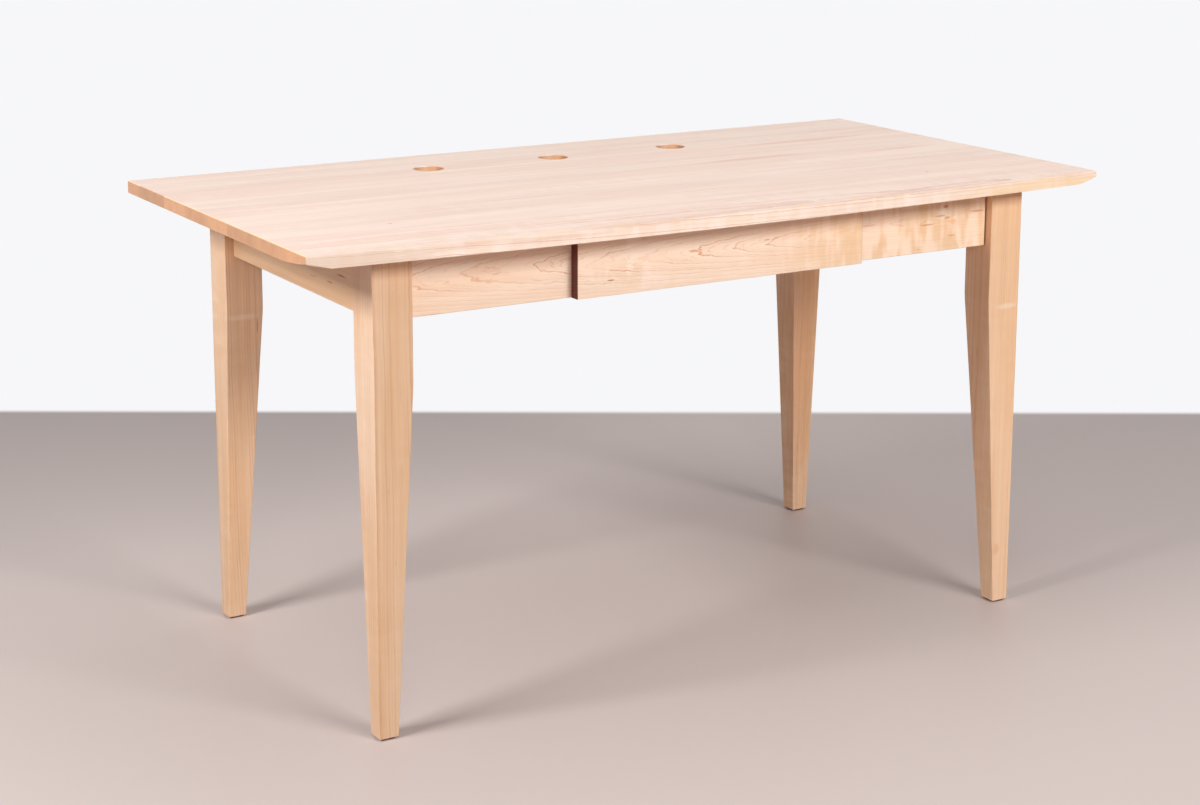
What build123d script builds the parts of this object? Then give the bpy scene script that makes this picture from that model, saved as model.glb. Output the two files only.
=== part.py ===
from build123d import *
import os

os.makedirs("parts", exist_ok=True)

# The desk stands on the floor at z = 0. X runs along its length, Y from its front to its back.

# ---------------------------------------------------------------- driving dimensions, mm
# Top: edge-glued maple boards, with a front edge bowed out and two eased lower front corners.
top_length = 1524.0
top_end_depth = 762.0
front_bow = 27.0
top_thickness = 21.0
desk_height = 796.0
top_edge_round = 1.8
rear_board_widths = (60.0, 116.0, 98.0, 88.0, 96.0)  # from the back edge; the sixth board is the rest
front_board_widths = (92.0, 126.0)  # up to the middle of the front edge

# Relief under each front corner: a shallow bevel under the end that dies away along an arc.
relief_rise = 9.8
relief_length = 110.0
relief_run = 38.0

# Cord holes through the second board.
cord_hole_diameter = 54.0
cord_hole_spacing = 255.4
cord_hole_from_back = 145.0
cord_hole_count = 3
cord_hole_ease = 1.0

# Legs: square down to a soft knee, then tapered on the two inner faces only.
end_overhang = 127.0
front_overhang = 50.0
back_overhang = 50.0
leg_width = 68.0
foot_width = 33.0
knee_height = 571.0
knee_radius = 300.0
leg_arris = 1.6
foot_ease = 1.2

# Foot pads stuck under the legs.
pad_thickness = 2.5
pad_inset = 3.0
pad_corner = 6.0

# Aprons and their tenons.
apron_height = 106.0
apron_thickness = 22.0
apron_inset = 15.5
apron_arris = 1.5
apron_end_ease = 3.0
tenon_thickness = 10.0
tenon_corner_wall = 5.5  # left in the leg between a mortise and the other apron's tenon
tenon_shoulder = 12.0
tenon_end_gap = 1.0

# Corner blocks glued across the inside corners.
block_thickness = 22.0
block_height = 70.0
block_drop = 8.0

# Drawer opening in the front apron.
opening_width = 530.0
opening_lower_strip = 13.0
opening_upper_strip = 13.0

# Cross rail between the side aprons, behind the drawer and clear of the cord holes.
cross_rail_thickness = 20.0
cross_rail_gap = 2.0
cross_rail_hole_gap = 12.8
cross_rail_block_gap = 5.0
cross_tenon_length = 12.0
cross_tenon_height = 60.0

# Drawer runners, guides and kickers, from the front apron back to the cross rail.
runner_width = 40.0
guide_width = 20.0
guide_height = 22.0
guide_clearance = 1.0
kicker_width = 32.0
stub_length = 8.0
stub_thickness = 6.0
stub_shoulder = 6.0

# Drawer: a dovetailed box behind an overlay front.
drawer_front_lap = 15.0  # beyond the opening, at each side
drawer_front_thickness = 19.0
drawer_front_top_gap = 3.0
drawer_front_arris = 1.0
drawer_rest_gap = 0.3
drawer_side_clearance = 2.0
drawer_top_clearance = 3.0
drawer_seat_gap = 0.3
drawer_side_thickness = 12.0
drawer_end_thickness = 15.0
drawer_bottom_thickness = 6.0
drawer_groove_depth = 6.0
drawer_groove_height = 8.0
tail_count = 3
tail_width = 15.0
tail_flare = 2.0

# Wooden buttons that hold the top to the aprons.
button_width = 28.0
button_length = 32.0
button_height = 20.0
tongue_height = 8.0
tongue_length = 8.0
slot_side_gap = 4.0
slot_end_gap = 1.0
slot_under_gap = 1.0
button_screw_setback = 18.0
button_rail_gap = 12.2
side_button_from_leg = 113.0
front_button_from_leg = 147.0
back_button_from_leg = 117.0
back_button_count = 4

# Round-head wood screws.
screw_radius = 2.1
screw_head_radius = 4.2
screw_head_height = 2.8
screw_clearance = 0.05
button_screw_bite = 14.0
front_screw_bite = 12.0
front_screw_from_end = 73.0
front_screw_rise = 20.0

# ---------------------------------------------------------------- places worked out from them
half_length = top_length / 2
top_depth = top_end_depth + front_bow
back_edge_y = top_depth / 2
front_edge_y = -top_depth / 2
front_corner_y = front_edge_y + front_bow
underside_z = desk_height - top_thickness

leg_face_x = half_length - end_overhang
leg_front_y = front_corner_y + front_overhang
leg_back_y = back_edge_y - back_overhang
base_middle_y = (leg_front_y + leg_back_y) / 2
pad_width = foot_width - 2 * pad_inset

apron_bottom_z = underside_z - apron_height
apron_middle_z = underside_z - apron_height / 2
side_apron_x = leg_face_x - apron_inset - apron_thickness / 2
front_apron_y = leg_front_y + apron_inset + apron_thickness / 2
back_apron_y = leg_back_y - apron_inset - apron_thickness / 2
front_apron_inner_y = front_apron_y + apron_thickness / 2
back_apron_inner_y = back_apron_y - apron_thickness / 2
apron_span_x = 2 * (leg_face_x - leg_width)
apron_span_y = leg_back_y - leg_front_y - 2 * leg_width
tenon_height = apron_height - 2 * tenon_shoulder
mortise_depth = leg_width - apron_inset - (apron_thickness + tenon_thickness) / 2 - tenon_corner_wall
tenon_length = mortise_depth - tenon_end_gap

# Measured from a leg's outer corner: a corner block's outer face passes the leg's inner corner,
# and its ends lie on the inner faces of the two aprons.
block_near = apron_inset + apron_thickness
block_far = 2 * leg_width - block_near
block_reach = block_thickness * 2**0.5
block_end = block_far + block_reach

cord_hole_y = back_edge_y - cord_hole_from_back
cross_rail_back_y = min(
    cord_hole_y - cord_hole_diameter / 2 - cross_rail_hole_gap,
    leg_back_y - block_end - cross_rail_block_gap,
)
cross_rail_y = cross_rail_back_y - cross_rail_thickness / 2
cross_rail_front_y = cross_rail_back_y - cross_rail_thickness
cross_rail_length = 2 * (side_apron_x - apron_thickness / 2)

opening_bottom_z = apron_bottom_z + opening_lower_strip
opening_top_z = underside_z - opening_upper_strip
opening_height = opening_top_z - opening_bottom_z

drawer_back_of_front_y = front_apron_y - apron_thickness / 2 - drawer_rest_gap
drawer_width = opening_width - 2 * drawer_side_clearance
drawer_bottom_z = opening_bottom_z + drawer_seat_gap
drawer_box_height = opening_height - drawer_seat_gap - drawer_top_clearance
drawer_middle_z = drawer_bottom_z + drawer_box_height / 2
drawer_rear_y = cross_rail_front_y - cross_rail_gap
drawer_front_width = opening_width + 2 * drawer_front_lap
drawer_side_x = drawer_width / 2 - drawer_side_thickness / 2
panel_bottom_z = drawer_bottom_z + drawer_groove_height
panel_top_z = panel_bottom_z + drawer_bottom_thickness

rail_length = cross_rail_front_y - front_apron_inner_y
rail_middle_y = (cross_rail_front_y + front_apron_inner_y) / 2
guide_x = drawer_width / 2 + guide_clearance + guide_width / 2
runner_x = drawer_width / 2 + guide_clearance + guide_width - runner_width / 2
kicker_x = drawer_width / 2 + guide_clearance - kicker_width / 2

slot_top_z = underside_z - button_height + tongue_height

SIDES = {"left": -1, "right": 1}
ENDS = {"front": -1, "back": 1}


def finish(builder, name):
    """Label a finished piece and write it to its own file."""
    builder.part.label = name
    export_step(builder.part, f"parts/{name}.step")


# ---------------------------------------------------------------- wooden buttons: where they go
# Each place is x, y on the apron's inner face, and the direction from that face into the desk.
leg_inner_x = leg_face_x - leg_width
front_side_button_y = leg_front_y + leg_width + side_button_from_leg
rear_side_button_y = cross_rail_front_y - button_rail_gap - button_width / 2
button_places = []
for side in SIDES.values():
    inner_x = side * (side_apron_x - apron_thickness / 2)
    for place_y in (front_side_button_y, rear_side_button_y):
        button_places.append((inner_x, place_y, -side, 0))
    front_x = side * (leg_inner_x - front_button_from_leg)
    button_places.append((front_x, front_apron_inner_y, 0, 1))
last_back_x = leg_inner_x - back_button_from_leg
for index in range(back_button_count):
    place_x = last_back_x * (2 * index / (back_button_count - 1) - 1)
    button_places.append((place_x, back_apron_inner_y, 0, -1))

button_screw_places = []
for x, y, across, along in button_places:
    setback = button_screw_setback
    button_screw_places.append((x + across * setback, y + along * setback))


def button_plane(place, z):
    """A level plane on an apron's inner face, with its Y pointing into the desk."""
    x, y, across, along = place
    return Plane(origin=(x, y, z), x_dir=(along, -across, 0), z_dir=(0, 0, 1))


def slot_planes(apron_runs_in_x, inner_value):
    """The planes at the bottom of the button slots in the apron whose inner face is given."""
    z = slot_top_z - tongue_height - slot_under_gap
    planes = []
    for place in button_places:
        into_desk = place[3] if apron_runs_in_x else place[2]
        face_value = place[1] if apron_runs_in_x else place[0]
        if into_desk != 0 and face_value == inner_value:
            planes.append(button_plane(place, z))
    return planes


# The outline of one slot, centred on the apron's inner face.
with BuildSketch() as slot_outline:
    Rectangle(button_width + 2 * slot_side_gap, 2 * (tongue_length + slot_end_gap))


# ---------------------------------------------------------------- top
cord_hole_places = [
    ((index - (cord_hole_count - 1) / 2) * cord_hole_spacing, cord_hole_y)
    for index in range(cord_hole_count)
]
relief_radius = (relief_length**2 + relief_rise**2) / (2 * relief_rise)
relief_overrun = front_bow
relief_reach = relief_length + relief_overrun


def relief_height(distance):
    """Height of the relief's arc above the underside, at a distance from where it begins."""
    return relief_radius - (relief_radius**2 - distance**2) ** 0.5


# The whole panel, as it is after gluing: outline, corner reliefs, cord holes and pilot holes.
with BuildPart() as top_panel:
    with BuildSketch(Plane.XY.offset(underside_z)):
        with BuildLine():
            Line((-half_length, front_corner_y), (-half_length, back_edge_y))
            Line((-half_length, back_edge_y), (half_length, back_edge_y))
            Line((half_length, back_edge_y), (half_length, front_corner_y))
            ThreePointArc(
                (half_length, front_corner_y),
                (0, front_edge_y),
                (-half_length, front_corner_y),
            )
        make_face()
    extrude(amount=top_thickness)
    fillet(top_panel.faces().sort_by(Axis.Z)[-1].edges(), radius=top_edge_round)

    # The reliefs are swept inward and down from each end face, so the bevel shows its full width
    # on the front edge and dies away along the end.
    relief_start_y = front_corner_y + relief_length
    relief_end_y = front_corner_y - relief_overrun
    relief_floor_z = underside_z - relief_rise
    for side in SIDES.values():
        with BuildSketch(Plane.YZ.offset(side * half_length)):
            with BuildLine():
                ThreePointArc(
                    (relief_start_y, underside_z),
                    (
                        relief_start_y - relief_reach / 2,
                        underside_z + relief_height(relief_reach / 2),
                    ),
                    (relief_end_y, underside_z + relief_height(relief_reach)),
                )
                Polyline(
                    (relief_end_y, underside_z + relief_height(relief_reach)),
                    (relief_end_y, relief_floor_z),
                    (relief_start_y, relief_floor_z),
                    (relief_start_y, underside_z),
                )
            make_face()
        extrude(
            amount=2.5 * relief_run,
            dir=(-side * relief_run, 0, -relief_rise),
            mode=Mode.SUBTRACT,
        )

    with Locations(Plane.XY.offset(desk_height)):
        with Locations(*cord_hole_places):
            Hole(cord_hole_diameter / 2, depth=top_thickness)
    cord_rims = (
        top_panel.edges()
        .filter_by(GeomType.CIRCLE)
        .filter_by(lambda edge: abs(edge.radius - cord_hole_diameter / 2) < 0.01)
    )
    chamfer(cord_rims, length=cord_hole_ease)

    with BuildSketch(Plane.XY.offset(underside_z)):
        with Locations(*button_screw_places):
            Circle(screw_radius + screw_clearance)
    extrude(amount=button_screw_bite, mode=Mode.SUBTRACT)

# The boards, from the back to the front.
strip_back_y = back_edge_y
middle_width = top_depth - sum(rear_board_widths) - sum(front_board_widths)
widths = (*rear_board_widths, middle_width, *front_board_widths)
for number, width in enumerate(widths, start=1):
    with BuildPart() as board:
        add(top_panel.part)
        with BuildSketch(Plane.XY.offset(underside_z)):
            with Locations((0, strip_back_y - width / 2)):
                Rectangle(top_length, width)
        extrude(amount=top_thickness, mode=Mode.INTERSECT)
    finish(board, f"top_board_{number}")
    strip_back_y -= width

# ---------------------------------------------------------------- legs and foot pads
for end_name, end in ENDS.items():
    outer_y = leg_front_y if end < 0 else leg_back_y
    for side_name, side in SIDES.items():
        outer_x = side * leg_face_x
        taper = (
            (0, pad_thickness),
            (foot_width, pad_thickness),
            (leg_width, knee_height),
            (leg_width, underside_z),
            (0, underside_z),
        )
        with BuildPart() as leg:
            # Two profiles, seen from the front and from the side, meet in the tapered leg.
            with BuildSketch(Plane.XZ.offset(-(outer_y - end * leg_width / 2))) as front_profile:
                with BuildLine():
                    Polyline(*[(outer_x - side * inward, z) for inward, z in taper], close=True)
                make_face()
                knee_corner = (outer_x - side * leg_width, knee_height)
                fillet(front_profile.vertices().sort_by_distance(knee_corner)[0], knee_radius)
            extrude(amount=leg_width / 2, both=True)
            with BuildSketch(Plane.YZ.offset(outer_x - side * leg_width / 2)) as side_profile:
                with BuildLine():
                    Polyline(*[(outer_y - end * inward, z) for inward, z in taper], close=True)
                make_face()
                knee_corner = (outer_y - end * leg_width, knee_height)
                fillet(side_profile.vertices().sort_by_distance(knee_corner)[0], knee_radius)
            extrude(amount=leg_width / 2, both=True, mode=Mode.INTERSECT)
            long_edges = leg.edges().filter_by(
                lambda edge: abs((edge @ 1).Z - (edge @ 0).Z) > leg_arris
            )
            fillet(long_edges, radius=leg_arris)
            fillet(leg.faces().sort_by(Axis.Z)[0].edges(), radius=foot_ease)

            # Mortises for the two apron tenons.
            inner_x = outer_x - side * leg_width
            inner_y = outer_y - end * leg_width
            apron_y = front_apron_y if end < 0 else back_apron_y
            with BuildSketch(Plane.YZ.offset(inner_x)):
                with Locations((apron_y, apron_middle_z)):
                    Rectangle(tenon_thickness, tenon_height)
            extrude(amount=side * mortise_depth, mode=Mode.SUBTRACT)
            with BuildSketch(Plane.XZ.offset(-inner_y)):
                with Locations((side * side_apron_x, apron_middle_z)):
                    Rectangle(tenon_thickness, tenon_height)
            extrude(amount=-end * mortise_depth, mode=Mode.SUBTRACT)
        finish(leg, f"leg_{end_name}_{side_name}")

        foot_middle = (outer_x - side * foot_width / 2, outer_y - end * foot_width / 2)
        with BuildPart() as pad:
            with BuildSketch(Plane.XY):
                with Locations(foot_middle):
                    RectangleRounded(pad_width, pad_width, pad_corner)
            extrude(amount=pad_thickness)
        finish(pad, f"foot_pad_{end_name}_{side_name}")

# ---------------------------------------------------------------- aprons and cross rail
# The ends of the cross rail's tenons, and of the runners' and kickers' stub tenons.
with BuildSketch() as cross_tenon:
    with Locations((cross_rail_y, apron_middle_z)):
        Rectangle(tenon_thickness, cross_tenon_height)
with BuildSketch() as stub_tenons:
    for side in SIDES.values():
        with Locations((side * runner_x, opening_bottom_z - opening_lower_strip / 2)):
            Rectangle(runner_width - 2 * stub_shoulder, stub_thickness)
        with Locations((side * kicker_x, opening_top_z + opening_upper_strip / 2)):
            Rectangle(kicker_width - 2 * stub_shoulder, stub_thickness)

for side_name, side in SIDES.items():
    middle_x = side * side_apron_x
    with BuildPart() as apron:
        with BuildSketch(Plane.XY.offset(apron_bottom_z)):
            with Locations((middle_x, base_middle_y)):
                Rectangle(apron_thickness, apron_span_y)
        extrude(amount=apron_height)
        outer_face = apron.faces().filter_by(Axis.X).sort_by(Axis.X)[0 if side < 0 else -1]
        chamfer(outer_face.edges().filter_by(Axis.Z), length=apron_end_ease)
        lower_edges = apron.faces().sort_by(Axis.Z)[0].edges().filter_by(Axis.Y)
        fillet(lower_edges, radius=apron_arris)
        with BuildSketch(Plane.XZ.offset(-base_middle_y)):
            with Locations((middle_x, apron_middle_z)):
                Rectangle(tenon_thickness, tenon_height)
        extrude(amount=apron_span_y / 2 + tenon_length, both=True)
        with BuildSketch(*slot_planes(False, side * (side_apron_x - apron_thickness / 2))):
            add(slot_outline.sketch)
        extrude(amount=tongue_height + slot_under_gap, mode=Mode.SUBTRACT)
        with BuildSketch(Plane.YZ.offset(side * cross_rail_length / 2)):
            add(cross_tenon.sketch)
        extrude(amount=side * cross_tenon_length, mode=Mode.SUBTRACT)
    finish(apron, f"apron_{side_name}")

for end_name, end in ENDS.items():
    middle_y = front_apron_y if end < 0 else back_apron_y
    with BuildPart() as apron:
        with BuildSketch(Plane.XY.offset(apron_bottom_z)):
            with Locations((0, middle_y)):
                Rectangle(apron_span_x, apron_thickness)
        extrude(amount=apron_height)
        outer_face = apron.faces().filter_by(Axis.Y).sort_by(Axis.Y)[0 if end < 0 else -1]
        chamfer(outer_face.edges().filter_by(Axis.Z), length=apron_end_ease)
        lower_edges = apron.faces().sort_by(Axis.Z)[0].edges().filter_by(Axis.X)
        fillet(lower_edges, radius=apron_arris)
        with BuildSketch(Plane.YZ):
            with Locations((middle_y, apron_middle_z)):
                Rectangle(tenon_thickness, tenon_height)
        extrude(amount=apron_span_x / 2 + tenon_length, both=True)
        with BuildSketch(*slot_planes(True, front_apron_inner_y if end < 0 else back_apron_inner_y)):
            add(slot_outline.sketch)
        extrude(amount=tongue_height + slot_under_gap, mode=Mode.SUBTRACT)
        if end < 0:
            with BuildSketch(Plane.XZ.offset(-middle_y)):
                with Locations((0, opening_bottom_z + opening_height / 2)):
                    Rectangle(opening_width, opening_height)
            extrude(amount=apron_thickness, both=True, mode=Mode.SUBTRACT)
            with BuildSketch(Plane.XZ.offset(-front_apron_inner_y)):
                add(stub_tenons.sketch)
            extrude(amount=stub_length, mode=Mode.SUBTRACT)
    finish(apron, f"apron_{end_name}")

with BuildPart() as cross_rail:
    with BuildSketch(Plane.XY.offset(apron_bottom_z)):
        with Locations((0, cross_rail_y)):
            Rectangle(cross_rail_length, cross_rail_thickness)
    extrude(amount=apron_height)
    with BuildSketch(Plane.YZ):
        add(cross_tenon.sketch)
    extrude(amount=cross_rail_length / 2 + cross_tenon_length, both=True)
    with BuildSketch(Plane.XZ.offset(-cross_rail_front_y)):
        add(stub_tenons.sketch)
    extrude(amount=-stub_length, mode=Mode.SUBTRACT)
finish(cross_rail, "cross_rail")

# ---------------------------------------------------------------- corner blocks
block_outline = (
    (block_near, block_far),
    (block_far, block_near),
    (block_end, block_near),
    (block_near, block_end),
)
for end_name, end in ENDS.items():
    outer_y = leg_front_y if end < 0 else leg_back_y
    for side_name, side in SIDES.items():
        corner_points = [
            (side * (leg_face_x - across), outer_y - end * along) for across, along in block_outline
        ]
        with BuildPart() as block:
            with BuildSketch(Plane.XY.offset(underside_z - block_drop - block_height)):
                with BuildLine():
                    Polyline(*corner_points, close=True)
                make_face()
            extrude(amount=block_height)
        finish(block, f"corner_block_{end_name}_{side_name}")

# ---------------------------------------------------------------- drawer runners, guides, kickers
for side_name, side in SIDES.items():
    rails = (
        ("drawer_runner", runner_x, apron_bottom_z, runner_width, opening_lower_strip),
        ("drawer_kicker", kicker_x, opening_top_z, kicker_width, opening_upper_strip),
    )
    for name, rail_x, rail_z, rail_width, rail_height in rails:
        with BuildPart() as rail:
            with BuildSketch(Plane.XY.offset(rail_z)):
                with Locations((side * rail_x, rail_middle_y)):
                    Rectangle(rail_width, rail_length)
            extrude(amount=rail_height)
            with BuildSketch(Plane.XZ.offset(-rail_middle_y)):
                with Locations((side * rail_x, rail_z + rail_height / 2)):
                    Rectangle(rail_width - 2 * stub_shoulder, stub_thickness)
            extrude(amount=rail_length / 2 + stub_length, both=True)
        finish(rail, f"{name}_{side_name}")

    with BuildPart() as guide:
        with BuildSketch(Plane.XY.offset(opening_bottom_z)):
            with Locations((side * guide_x, rail_middle_y)):
                Rectangle(guide_width, rail_length)
        extrude(amount=guide_height)
    finish(guide, f"drawer_guide_{side_name}")

# ---------------------------------------------------------------- drawer
tail_pitch = drawer_box_height / tail_count


def tail_sketch(joint_y, inward, depth):
    """Dovetails as seen from the side (Y, Z): wide at the box's face and narrow inside it."""
    with BuildSketch() as tails:
        for index in range(tail_count):
            middle_z = drawer_bottom_z + (index + 0.5) * tail_pitch
            narrow = tail_width / 2
            wide = narrow + tail_flare
            Polygon(
                (joint_y, middle_z - wide),
                (joint_y, middle_z + wide),
                (joint_y + inward * depth, middle_z + narrow),
                (joint_y + inward * depth, middle_z - narrow),
                align=None,
            )
    return tails.sketch


front_tails = tail_sketch(drawer_back_of_front_y, 1, drawer_end_thickness)
rear_tails = tail_sketch(drawer_rear_y, -1, drawer_side_thickness)
body_front_y = drawer_back_of_front_y + drawer_end_thickness
body_rear_y = drawer_rear_y - drawer_side_thickness

# The bottom panel's outline, which is also the outline of the groove that holds it.
panel_width = drawer_width - 2 * drawer_side_thickness + 2 * drawer_groove_depth
panel_front_y = body_front_y - drawer_groove_depth
with BuildSketch() as panel_outline:
    with Locations((0, (panel_front_y + drawer_rear_y) / 2)):
        Rectangle(panel_width, drawer_rear_y - panel_front_y)

for side_name, side in SIDES.items():
    middle_x = side * drawer_side_x
    with BuildPart() as drawer_side:
        with BuildSketch(Plane.YZ.offset(middle_x)):
            with Locations(((body_front_y + body_rear_y) / 2, drawer_middle_z)):
                Rectangle(body_rear_y - body_front_y, drawer_box_height)
            add(front_tails)
            add(rear_tails)
        extrude(amount=drawer_side_thickness / 2, both=True)
        with BuildSketch(Plane.XY.offset(panel_bottom_z)):
            add(panel_outline.sketch)
        extrude(amount=drawer_bottom_thickness, mode=Mode.SUBTRACT)
    finish(drawer_side, f"drawer_side_{side_name}")

front_screw_x = drawer_width / 2 - front_screw_from_end
front_screw_z = [drawer_middle_z - front_screw_rise, drawer_middle_z + front_screw_rise]
front_screw_places = [(side * front_screw_x, z) for side in SIDES.values() for z in front_screw_z]

with BuildPart() as drawer_box_front:
    with BuildSketch(Plane.XZ.offset(-drawer_back_of_front_y)):
        with Locations((0, drawer_middle_z)):
            Rectangle(drawer_width, drawer_box_height)
    extrude(amount=-drawer_end_thickness)
    with BuildSketch(*[Plane.YZ.offset(side * drawer_side_x) for side in SIDES.values()]):
        add(front_tails)
    extrude(amount=drawer_side_thickness / 2, both=True, mode=Mode.SUBTRACT)
    with BuildSketch(Plane.XY.offset(panel_bottom_z)):
        add(panel_outline.sketch)
    extrude(amount=drawer_bottom_thickness, mode=Mode.SUBTRACT)
    with BuildSketch(Plane.XZ.offset(-drawer_back_of_front_y)):
        with Locations(*front_screw_places):
            Circle(screw_radius + screw_clearance)
    extrude(amount=-drawer_end_thickness, mode=Mode.SUBTRACT)
finish(drawer_box_front, "drawer_box_front")

# The back stands on the bottom panel, which slides in under it.
with BuildPart() as drawer_box_back:
    with BuildSketch(Plane.XZ.offset(-drawer_rear_y)):
        with Locations((0, drawer_middle_z)):
            Rectangle(drawer_width, drawer_box_height)
    extrude(amount=drawer_side_thickness)
    with BuildSketch(*[Plane.YZ.offset(side * drawer_side_x) for side in SIDES.values()]):
        add(rear_tails)
    extrude(amount=drawer_side_thickness / 2, both=True, mode=Mode.SUBTRACT)
    with BuildSketch(Plane.XZ.offset(-drawer_rear_y)):
        with Locations((0, (drawer_bottom_z + panel_top_z) / 2)):
            Rectangle(drawer_width, panel_top_z - drawer_bottom_z)
    extrude(amount=drawer_side_thickness, mode=Mode.SUBTRACT)
finish(drawer_box_back, "drawer_box_back")

with BuildPart() as drawer_bottom:
    with BuildSketch(Plane.XY.offset(panel_bottom_z)):
        add(panel_outline.sketch)
    extrude(amount=drawer_bottom_thickness)
finish(drawer_bottom, "drawer_bottom")

drawer_front_height = apron_height - drawer_front_top_gap
with BuildPart() as drawer_front:
    with BuildSketch(Plane.XZ.offset(-drawer_back_of_front_y)):
        with Locations((0, apron_bottom_z + drawer_front_height / 2)):
            Rectangle(drawer_front_width, drawer_front_height)
    extrude(amount=drawer_front_thickness)
    fillet(drawer_front.faces().sort_by(Axis.Y)[0].edges(), radius=drawer_front_arris)
    with BuildSketch(Plane.XZ.offset(-drawer_back_of_front_y)):
        with Locations(*front_screw_places):
            Circle(screw_radius + screw_clearance)
    extrude(amount=front_screw_bite, mode=Mode.SUBTRACT)
finish(drawer_front, "drawer_front")

# Screws from inside the box into the overlay front, all in one group.
with BuildPart() as drawer_front_screws:
    with BuildSketch(Plane.XZ.offset(-body_front_y)):
        with Locations(*front_screw_places):
            Circle(screw_radius)
    extrude(amount=drawer_end_thickness + front_screw_bite)
    with BuildSketch(Plane.XZ.offset(-body_front_y)):
        with Locations(*front_screw_places):
            Circle(screw_head_radius)
    extrude(amount=-screw_head_height)
    heads = drawer_front_screws.faces().sort_by(Axis.Y)[-len(front_screw_places):]
    fillet(heads.edges(), radius=screw_head_height / 2)
finish(drawer_front_screws, "drawer_front_screws")

# ---------------------------------------------------------------- buttons and their screws
with BuildPart() as top_buttons:
    for place in button_places:
        with BuildSketch(button_plane(place, underside_z - button_height)):
            with Locations((0, button_length / 2)):
                Rectangle(button_width, button_length)
        extrude(amount=button_height)
        with BuildSketch(button_plane(place, slot_top_z - tongue_height)):
            with Locations((0, -tongue_length / 2)):
                Rectangle(button_width, tongue_length)
        extrude(amount=tongue_height)
    with BuildSketch(Plane.XY.offset(underside_z)):
        with Locations(*button_screw_places):
            Circle(screw_radius + screw_clearance)
    extrude(amount=-button_height, mode=Mode.SUBTRACT)
finish(top_buttons, "top_buttons")

with BuildPart() as top_button_screws:
    with BuildSketch(Plane.XY.offset(underside_z - button_height)):
        with Locations(*button_screw_places):
            Circle(screw_radius)
    extrude(amount=button_height + button_screw_bite)
    with BuildSketch(Plane.XY.offset(underside_z - button_height)):
        with Locations(*button_screw_places):
            Circle(screw_head_radius)
    extrude(amount=-screw_head_height)
    heads = top_button_screws.faces().sort_by(Axis.Z)[: len(button_screw_places)]
    fillet(heads.edges(), radius=screw_head_height / 2)
finish(top_button_screws, "top_button_screws")
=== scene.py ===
import math
from collections import namedtuple
from dataclasses import dataclass, replace

import bpy
from mathutils import Matrix, Vector


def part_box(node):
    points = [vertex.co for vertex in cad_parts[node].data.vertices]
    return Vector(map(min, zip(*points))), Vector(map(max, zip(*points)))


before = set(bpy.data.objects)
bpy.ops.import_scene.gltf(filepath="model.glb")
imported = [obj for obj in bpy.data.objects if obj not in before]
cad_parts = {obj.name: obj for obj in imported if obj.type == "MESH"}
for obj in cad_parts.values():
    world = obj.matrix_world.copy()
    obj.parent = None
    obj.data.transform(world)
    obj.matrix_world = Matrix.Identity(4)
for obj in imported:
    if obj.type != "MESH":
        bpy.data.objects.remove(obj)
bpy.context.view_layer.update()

# Blender works in metres, in the frame's own axes: X along the desk, Y from its front to its back.
# What is written in millimetres is turned into metres by MM.
MM = 0.001
X_AXIS = Vector((1, 0, 0))
Y_AXIS = Vector((0, 1, 0))
Z_AXIS = Vector((0, 0, 1))

# ---------------------------------------------------------------- camera
PHOTO_WIDTH = 1200
FOCAL_PIXELS = 2295.7
SENSOR_WIDTH = 36.0
AXIS_ABOVE_CENTRE = 144.0  # pixels from the image's centre up to the lens axis
CAMERA_PLACE = Vector((-2.0604, -3.3830, 1.4616))
CAMERA_YAW = math.radians(30.753)  # from +Y towards +X
CAMERA_PITCH = math.radians(11.582)  # below the horizon
CAMERA_ROLL = math.radians(0.097)


def make_camera():
    """The camera where the photographer stood, with the lens axis above the picture's centre."""
    data = bpy.data.cameras.new("camera")
    data.sensor_width = SENSOR_WIDTH
    data.lens = FOCAL_PIXELS / PHOTO_WIDTH * SENSOR_WIDTH
    data.shift_y = -AXIS_ABOVE_CENTRE / PHOTO_WIDTH
    data.dof.use_dof = False
    camera = bpy.data.objects.new("camera", data)
    bpy.context.scene.collection.objects.link(camera)
    turn = (
        Matrix.Rotation(-CAMERA_YAW, 4, "Z")
        @ Matrix.Rotation(math.pi / 2 - CAMERA_PITCH, 4, "X")
        @ Matrix.Rotation(CAMERA_ROLL, 4, "Z")
    )
    camera.matrix_world = Matrix.Translation(CAMERA_PLACE) @ turn
    bpy.context.scene.camera = camera


# ---------------------------------------------------------------- colours and shader nodes
def srgb(red, green, blue):
    """A colour as it looks on a screen, 0 to 255, turned into the linear one that a shader takes."""
    linear = []
    for level in (red / 255, green / 255, blue / 255):
        linear.append(level / 12.92 if level <= 0.04045 else ((level + 0.055) / 1.055) ** 2.4)
    return (*linear, 1.0)


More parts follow.
